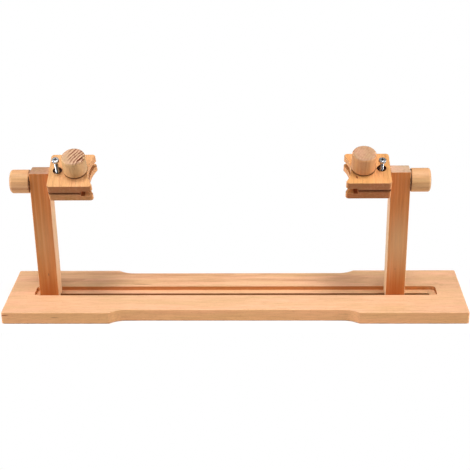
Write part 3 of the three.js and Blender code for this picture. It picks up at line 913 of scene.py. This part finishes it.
class HoopStandMakeBolts(bpy.types.Operator):
    """Makes the tilt bolts, clamp bolts and foot bolts"""
    bl_idname = "hoop_stand.bolts"
    bl_label = "Bolts"

    def tilt_bolt(self, name, sizes):
        """A hanger bolt, with a wood thread below z = 0, a metric one above and a plain middle."""
        radius = sizes.bolt / 2
        point = sizes.tilt_point - sizes.tilt_wood
        plain_low = -2.5 * MM
        plain_high = 2 * MM
        end = sizes.tilt_length - sizes.tilt_wood
        return turned(name, [
            (0, -sizes.tilt_wood),
            *threaded(radius, point, plain_low - 0.5 * MM, sizes.wood_pitch, sizes.wood_depth),
            (radius, plain_low),
            (radius, plain_high),
            *threaded(radius, plain_high + 0.2 * MM, end - sizes.chamfer, sizes.bolt_pitch),
            (radius - sizes.chamfer, end),
            (0, end)], 32)

    def clamp_bolt(self, name, sizes, jaw):
        """A carriage bolt, with a domed head and a square neck."""
        radius = sizes.bolt / 2
        head_top = jaw.head_pocket_depth - jaw.thickness / 2 - sizes.rest
        thread = head_top + 2 * sizes.clamp_neck_height
        end = head_top + sizes.clamp_length
        dome = [(0, head_top - sizes.clamp_head_height)]
        for i in range(1, 9):
            angle = math.pi / 2 * (1 - i / 8)
            dome.append((sizes.clamp_head / 2 * math.cos(angle),
                         head_top - sizes.clamp_head_height * math.sin(angle)))
        bolt = turned(name, [
            *dome,
            (radius, head_top),
            (radius, head_top + sizes.clamp_neck_height),
            *threaded(radius, thread, end - sizes.chamfer, sizes.bolt_pitch),
            (radius - sizes.chamfer, end),
            (0, end)], 48)
        half = sizes.clamp_neck / 2
        neck = block((-half, -half, head_top - sizes.clamp_head_height / 2),
                     (half, half, head_top + sizes.clamp_neck_height))
        cut(bolt, neck, operation="UNION")
        return bolt

    def foot_bolt(self, name, sizes):
        """A button-head bolt, its head below z = 0, with a six-sided socket."""
        radius = sizes.bolt / 2
        head = sizes.foot_head / 2
        edge = sizes.foot_head_edge
        bolt = turned(name, [
            (0, -sizes.foot_head_height),
            *arc(head - edge, edge - sizes.foot_head_height, edge, -90, 0, 8),
            (head, 0),
            (radius, 0),
            (radius, MM),
            *threaded(radius, 1.2 * MM, sizes.foot_length - sizes.chamfer, sizes.bolt_pitch),
            (radius - sizes.chamfer, sizes.foot_length),
            (0, sizes.foot_length)], 48)
        corner = 2 * sizes.foot_socket / math.sqrt(3)
        depth = sizes.foot_socket_depth - sizes.foot_head_height
        cut(bolt, rod(corner, -sizes.foot_head_height - MM, depth, segments=6))
        return bolt

    def execute(self, context):
        sizes = context.scene.hoop_stand_hardware
        jaw = context.scene.hoop_stand_jaw
        board = context.scene.hoop_stand_board
        steel = zinc_plate()
        for side in SIDES:
            tilt = self.tilt_bolt(f"{side}_hanger_bolt", sizes)
            fit(tilt, head_place(side) @ Matrix.Rotation(-math.pi / 2, 4, "Y"), f"{side}_head",
                f"{side}_tilt_bolt", steel)
            clamp = self.clamp_bolt(f"{side}_carriage_bolt", sizes, jaw)
            fit(clamp, head_place(side) @ Matrix.Translation((jaw.bolt_x, 0, 0)), f"{side}_head",
                f"{side}_clamp_bolt", steel)
            height = board.groove_depth - sizes.foot_washer_height - 2 * sizes.rest
            foot = self.foot_bolt(f"{side}_button_bolt", sizes)
            fit(foot, post_place(side) @ Matrix.Translation((0, 0, height)), f"{side}_foot_bolt",
                f"{side}_foot_bolt", steel)
        return {"FINISHED"}


class HoopStandMakeJackScrews(bpy.types.Operator):
    """Makes the two pan-head jack screws"""
    bl_idname = "hoop_stand.jack_screws"
    bl_label = "Jack screws"

    def execute(self, context):
        sizes = context.scene.hoop_stand_hardware
        jaw = context.scene.hoop_stand_jaw
        radius = sizes.jack / 2
        head = sizes.jack_head / 2
        edge = sizes.jack_head_edge
        top = sizes.jack_head_height
        arm = sizes.cross / 2
        width = sizes.cross_width / 2
        low = top - sizes.cross_depth
        # Painted shade: the cross recess is darkened, and all of the right head a little
        recess = (top + low) / 2 / MM
        grime = Mark((0, 0, recess - 0.15), (2.9, 2.9, 0.95), "grime", 0.9, 0.1, square=True)
        head_shade = Mark((0, 0, top / MM), (6, 6, 4), "grime", 0.45, 0.3)
        looks = {"left": zinc_plate("bright zinc-plated steel, pan head", [grime]),
                 "right": zinc_plate("darkened zinc-plated steel, pan head", [head_shade, grime])}
        for side, rise in (("left", sizes.left_rise), ("right", sizes.right_rise)):
            screw = turned(f"{side}_pan_screw", [
                (0, -sizes.jack_length),
                (radius - sizes.chamfer, -sizes.jack_length),
                *threaded(radius, sizes.chamfer - sizes.jack_length, -0.8 * MM, sizes.jack_pitch),
                (radius * 0.86, -0.4 * MM),
                (radius, 0),
                (head, 0),
                *arc(head - edge, top - edge, edge, 0, 90, 8),
                (0, top)], 48)
            cut(screw, block((-arm, -width, low), (arm, width, top + MM)),
                block((-width, -arm, low), (width, arm, top + MM)))
            height = jaw.thickness * 1.5 + jaw.spacing + rise
            fit(screw, head_place(side) @ Matrix.Translation((jaw.jack_x, 0, height)),
                f"{side}_jack_screw", f"{side}_jack_screw", looks[side])
        return {"FINISHED"}


class HoopStandMakeWashers(bpy.types.Operator):
    """Makes the washers under the knobs and foot bolts"""
    bl_idname = "hoop_stand.washers"
    bl_label = "Washers"

    def washer(self, name, diameter, height, bore):
        """A flat washer on z = 0 with its outer edges eased."""
        inner = bore / 2
        outer = diameter / 2
        edge = 0.15 * MM
        return turned(name, [
            (inner, 0),
            *arc(outer - edge, edge, edge, -90, 0, 3),
            *arc(outer - edge, height - edge, edge, 0, 90, 3),
            (inner, height)], 64)

    def execute(self, context):
        sizes = context.scene.hoop_stand_hardware
        board = context.scene.hoop_stand_board
        steel = zinc_plate()
        for side in SIDES:
            height = board.groove_depth - sizes.rest - sizes.foot_washer_height
            foot = Matrix.Translation((0, 0, height))
            seats = {
                "tilt": (tilt_knob_place(side), f"{side}_tilt_washer", sizes.washer,
                         sizes.washer_height),
                "clamp": (clamp_knob_place(side), f"{side}_upper_jaw", sizes.washer,
                          sizes.washer_height),
                "foot": (post_place(side) @ foot, f"{side}_foot_washer", sizes.foot_washer,
                         sizes.foot_washer_height),
            }
            for kind, (place, body, diameter, thickness) in seats.items():
                ring = self.washer(f"{side}_{kind}_ring", diameter, thickness, sizes.washer_bore)
                fit(ring, place, body, f"{side}_{kind}_washer", steel)
        return {"FINISHED"}


class HoopStandMakeInserts(bpy.types.Operator):
    """Makes the threaded brass inserts"""
    bl_idname = "hoop_stand.inserts"
    bl_label = "Threaded inserts"

    def insert(self, name, diameter, height, thread, pitch, sizes):
        """A bush with a coarse thread outside, a plain collar at its end and a thread inside."""
        outer = diameter / 2
        bore = thread / 2 + sizes.play
        lead = 0.4 * MM
        collar = height - 1.1 * MM
        edge = 0.2 * MM
        sink = 0.3 * MM
        return turned(name, [
            (bore, 0),
            (outer - lead, 0),
            *threaded(outer, lead, collar - 0.1 * MM, sizes.insert_pitch, sizes.wood_depth),
            (outer, collar),
            (outer, height - edge),
            (outer - edge, height),
            (bore + sink, height),
            *threaded(bore, height - sink, sink, pitch, -0.3 * pitch)], 48)

    def execute(self, context):
        sizes = context.scene.hoop_stand_hardware
        jaw = context.scene.hoop_stand_jaw
        knob = context.scene.hoop_stand_knob
        upright = context.scene.hoop_stand_upright
        lift = Matrix.Translation((0, 0, sizes.washer_height + knob.gap + sizes.rest))
        top = jaw.thickness * 1.5 + jaw.spacing - jaw.jack_hole_depth - sizes.rest
        jack = Matrix.Translation((jaw.jack_x, 0, top - sizes.jack_insert_length))
        foot = Matrix.Translation((0, 0, upright.foot + sizes.rest))
        for side in SIDES:
            seats = (
                (f"{side}_upright", f"{side}_foot_insert", post_place(side) @ foot),
                (f"{side}_tilt_knob", f"{side}_tilt_knob_insert", tilt_knob_place(side) @ lift),
                (f"{side}_clamp_knob", f"{side}_clamp_knob_insert", clamp_knob_place(side) @ lift),
            )
            for body, node, place in seats:
                bush = self.insert(node.replace("insert", "bush"), sizes.insert,
                                   sizes.insert_length, sizes.bolt, sizes.bolt_pitch, sizes)
                fit(bush, place, body, node, machined_brass())
            bush = self.insert(f"{side}_jack_bush", sizes.jack_insert, sizes.jack_insert_length,
                               sizes.jack, sizes.jack_pitch, sizes)
            fit(bush, head_place(side) @ jack, f"{side}_upper_jaw", f"{side}_jack_insert",
                shaded_brass())
        return {"FINISHED"}


class HoopStandMakeStage(bpy.types.Operator):
    """Makes the floor, the soft studio light and the camera"""
    bl_idname = "hoop_stand.stage"
    bl_label = "Stage"

    def seen(self, tree):
        """1 for rays from the camera and for those reflected or let through, else 0."""
        path = add(tree, "LightPath").outputs
        seen = path["Is Camera Ray"]
        for kind in ("Glossy", "Transmission"):
            seen = add(tree, "Math", {0: seen, 1: path[f"Is {kind} Ray"]}, operation="MAXIMUM")
        return seen

    def sky(self, context, strength):
        """A white background that lights the stand only dimly."""
        world = bpy.data.worlds.new("white sky")
        context.scene.world = world
        world.use_nodes = True
        tree = world.node_tree
        tree.nodes.clear()
        dim = add(tree, "Background", {"Color": (1, 1, 1, 1), "Strength": strength})
        white = add(tree, "Background", {"Color": (1, 1, 1, 1), "Strength": 1})
        both = add(tree, "MixShader", {0: self.seen(tree), 1: dim, 2: white})
        add(tree, "OutputWorld", {"Surface": both})

    def floor(self, context):
        """A pale matt floor that fades into the white background and keeps a faint shadow."""
        shape = bmesh.new()
        bmesh.ops.create_grid(shape, x_segments=1, y_segments=1, size=6)
        floor = link("floor", shape)
        floor.location.z = -0.4 * MM
        material = bpy.data.materials.new("matt pale paper")
        material.use_nodes = True
        tree = material.node_tree
        tree.nodes.clear()
        away = add(tree, "VectorMath", {0: add(tree, "TexCoord").outputs["Object"]},
                   operation="ABSOLUTE")
        away = add(tree, "VectorMath", {0: away, 1: BOARD_HIGH}, operation="SUBTRACT")
        away = add(tree, "VectorMath", {0: away, 1: (0, 0, 0)}, operation="MAXIMUM")
        away = add(tree, "VectorMath", {0: away}, operation="LENGTH").outputs["Value"]
        share = add(tree, "MapRange", {"Value": away, "From Max": 25 * MM, "To Min": 0.9,
                                       "To Max": 0}, interpolation_type="SMOOTHSTEP")
        paper = add(tree, "BsdfDiffuse", {"Color": context.scene.hoop_stand_colours.paper})
        glow = add(tree, "Emission", {"Color": (1, 1, 1, 1), "Strength": 1})
        white = add(tree, "BsdfDiffuse", {"Color": (1, 1, 1, 1)})
        seen = add(tree, "MixShader", {0: share, 1: glow, 2: white})
        both = add(tree, "MixShader", {0: self.seen(tree), 1: paper, 2: seen})
        add(tree, "OutputMaterial", {"Surface": both})
        floor.data.materials.append(material)

    def screen(self, context):
        """A black band round the studio that only reflections show, as the dark parts of metal."""
        inner = 2.2
        outer = 2.21
        low = 0.7
        high = 2.6
        screen = turned("dark_screen", [(inner, low), (outer, low), (outer, high), (inner, high)])
        material = bpy.data.materials.new("black cloth")
        material.use_nodes = True
        shader = material.node_tree.nodes["Principled BSDF"]
        shader.inputs["Base Color"].default_value = linear("1c1c1c")
        shader.inputs["Roughness"].default_value = 0.95
        screen.data.materials.append(material)
        for rays in ("camera", "diffuse", "transmission", "volume_scatter", "shadow"):
            setattr(screen, f"visible_{rays}", False)

    def lamp(self, context, name, place, target, size, power, spread=180):
        """A square lamp aimed at a place 100 mm above the board's middle line, unseen itself."""
        light = bpy.data.lights.new(name, "AREA")
        light.shape = "RECTANGLE"
        light.size = size
        light.size_y = size
        light.energy = power
        light.spread = math.radians(spread)
        lamp = bpy.data.objects.new(name, light)
        context.scene.collection.objects.link(lamp)
        lamp.location = place
        aim = Vector((target, 0, 0.1)) - Vector(place)
        lamp.rotation_euler = aim.to_track_quat("-Z", "Y").to_euler()
        lamp.visible_camera = False

    def execute(self, context):
        settings = context.scene.hoop_stand_stage
        self.sky(context, settings.sky)
        self.floor(context)
        self.screen(context)
        # Each top lamp is a narrow beam on its own half, from further out, so a head's shadow
        # falls inwards. The side lamps light the ends and the knobs.
        for name, side in (("left", -1), ("right", 1)):
            self.lamp(context, f"{name} top lamp", place=(0.37 * side, -0.25, 1.35),
                      target=0.22 * side, size=0.4, power=settings.top, spread=48)
            self.lamp(context, f"{name} side lamp", place=(1.7 * side, -0.25, 0.4),
                      target=0.5 * side, size=1, power=settings.side)
        camera = bpy.data.objects.new("camera", bpy.data.cameras.new("camera"))
        context.scene.collection.objects.link(camera)
        camera.data.sensor_width = 36
        camera.data.lens = settings.lens
        camera.matrix_world = (
            Matrix.Translation(settings.camera_place) @ Matrix.Rotation(settings.yaw, 4, "Z")
            @ Matrix.Rotation(math.pi / 2 - settings.pitch, 4, "X")
            @ Matrix.Rotation(settings.roll, 4, "Z"))
        context.scene.camera = camera
        context.scene.view_settings.view_transform = "Standard"
        return {"FINISHED"}


class HoopStandPanel(bpy.types.Panel):
    """Lists what makes each piece, in order, and the sizes and colours"""
    bl_idname = "VIEW3D_PT_hoop_stand"
    bl_label = "Hoop Stand"
    bl_space_type = "VIEW_3D"
    bl_region_type = "UI"
    bl_category = "Hoop Stand"

    def draw(self, context):
        for operator in OPERATORS:
            self.layout.operator(operator.bl_idname)
        for group in GROUPS:
            settings = getattr(context.scene, group)
            box = self.layout.box()
            for key in settings.bl_rna.properties.keys():
                if key not in ("rna_type", "name"):
                    box.prop(settings, key)


GROUPS = {
    "hoop_stand_board": HoopStandBoard,
    "hoop_stand_upright": HoopStandUpright,
    "hoop_stand_jaw": HoopStandJaw,
    "hoop_stand_knob": HoopStandKnob,
    "hoop_stand_hardware": HoopStandHardware,
    "hoop_stand_colours": HoopStandColours,
    "hoop_stand_stage": HoopStandStage,
}
OPERATORS = (
    HoopStandMakeStage,
    HoopStandMakeBoard,
    HoopStandMakeUprights,
    HoopStandMakeJaws,
    HoopStandMakeKnobs,
    HoopStandMakeBolts,
    HoopStandMakeJackScrews,
    HoopStandMakeWashers,
    HoopStandMakeInserts,
)


def register():
    for name, group in GROUPS.items():
        bpy.utils.register_class(group)
        setattr(bpy.types.Scene, name, PointerProperty(type=group))
    for kind in (*OPERATORS, HoopStandPanel):
        bpy.utils.register_class(kind)


def unregister():
    for kind in (HoopStandPanel, *reversed(OPERATORS)):
        bpy.utils.unregister_class(kind)
    for name, group in GROUPS.items():
        delattr(bpy.types.Scene, name)
        bpy.utils.unregister_class(group)


def main():
    register()
    for operator in OPERATORS:
        group, name = operator.bl_idname.split(".")
        getattr(getattr(bpy.ops, group), name)()


if __name__ == "__main__":
    main()
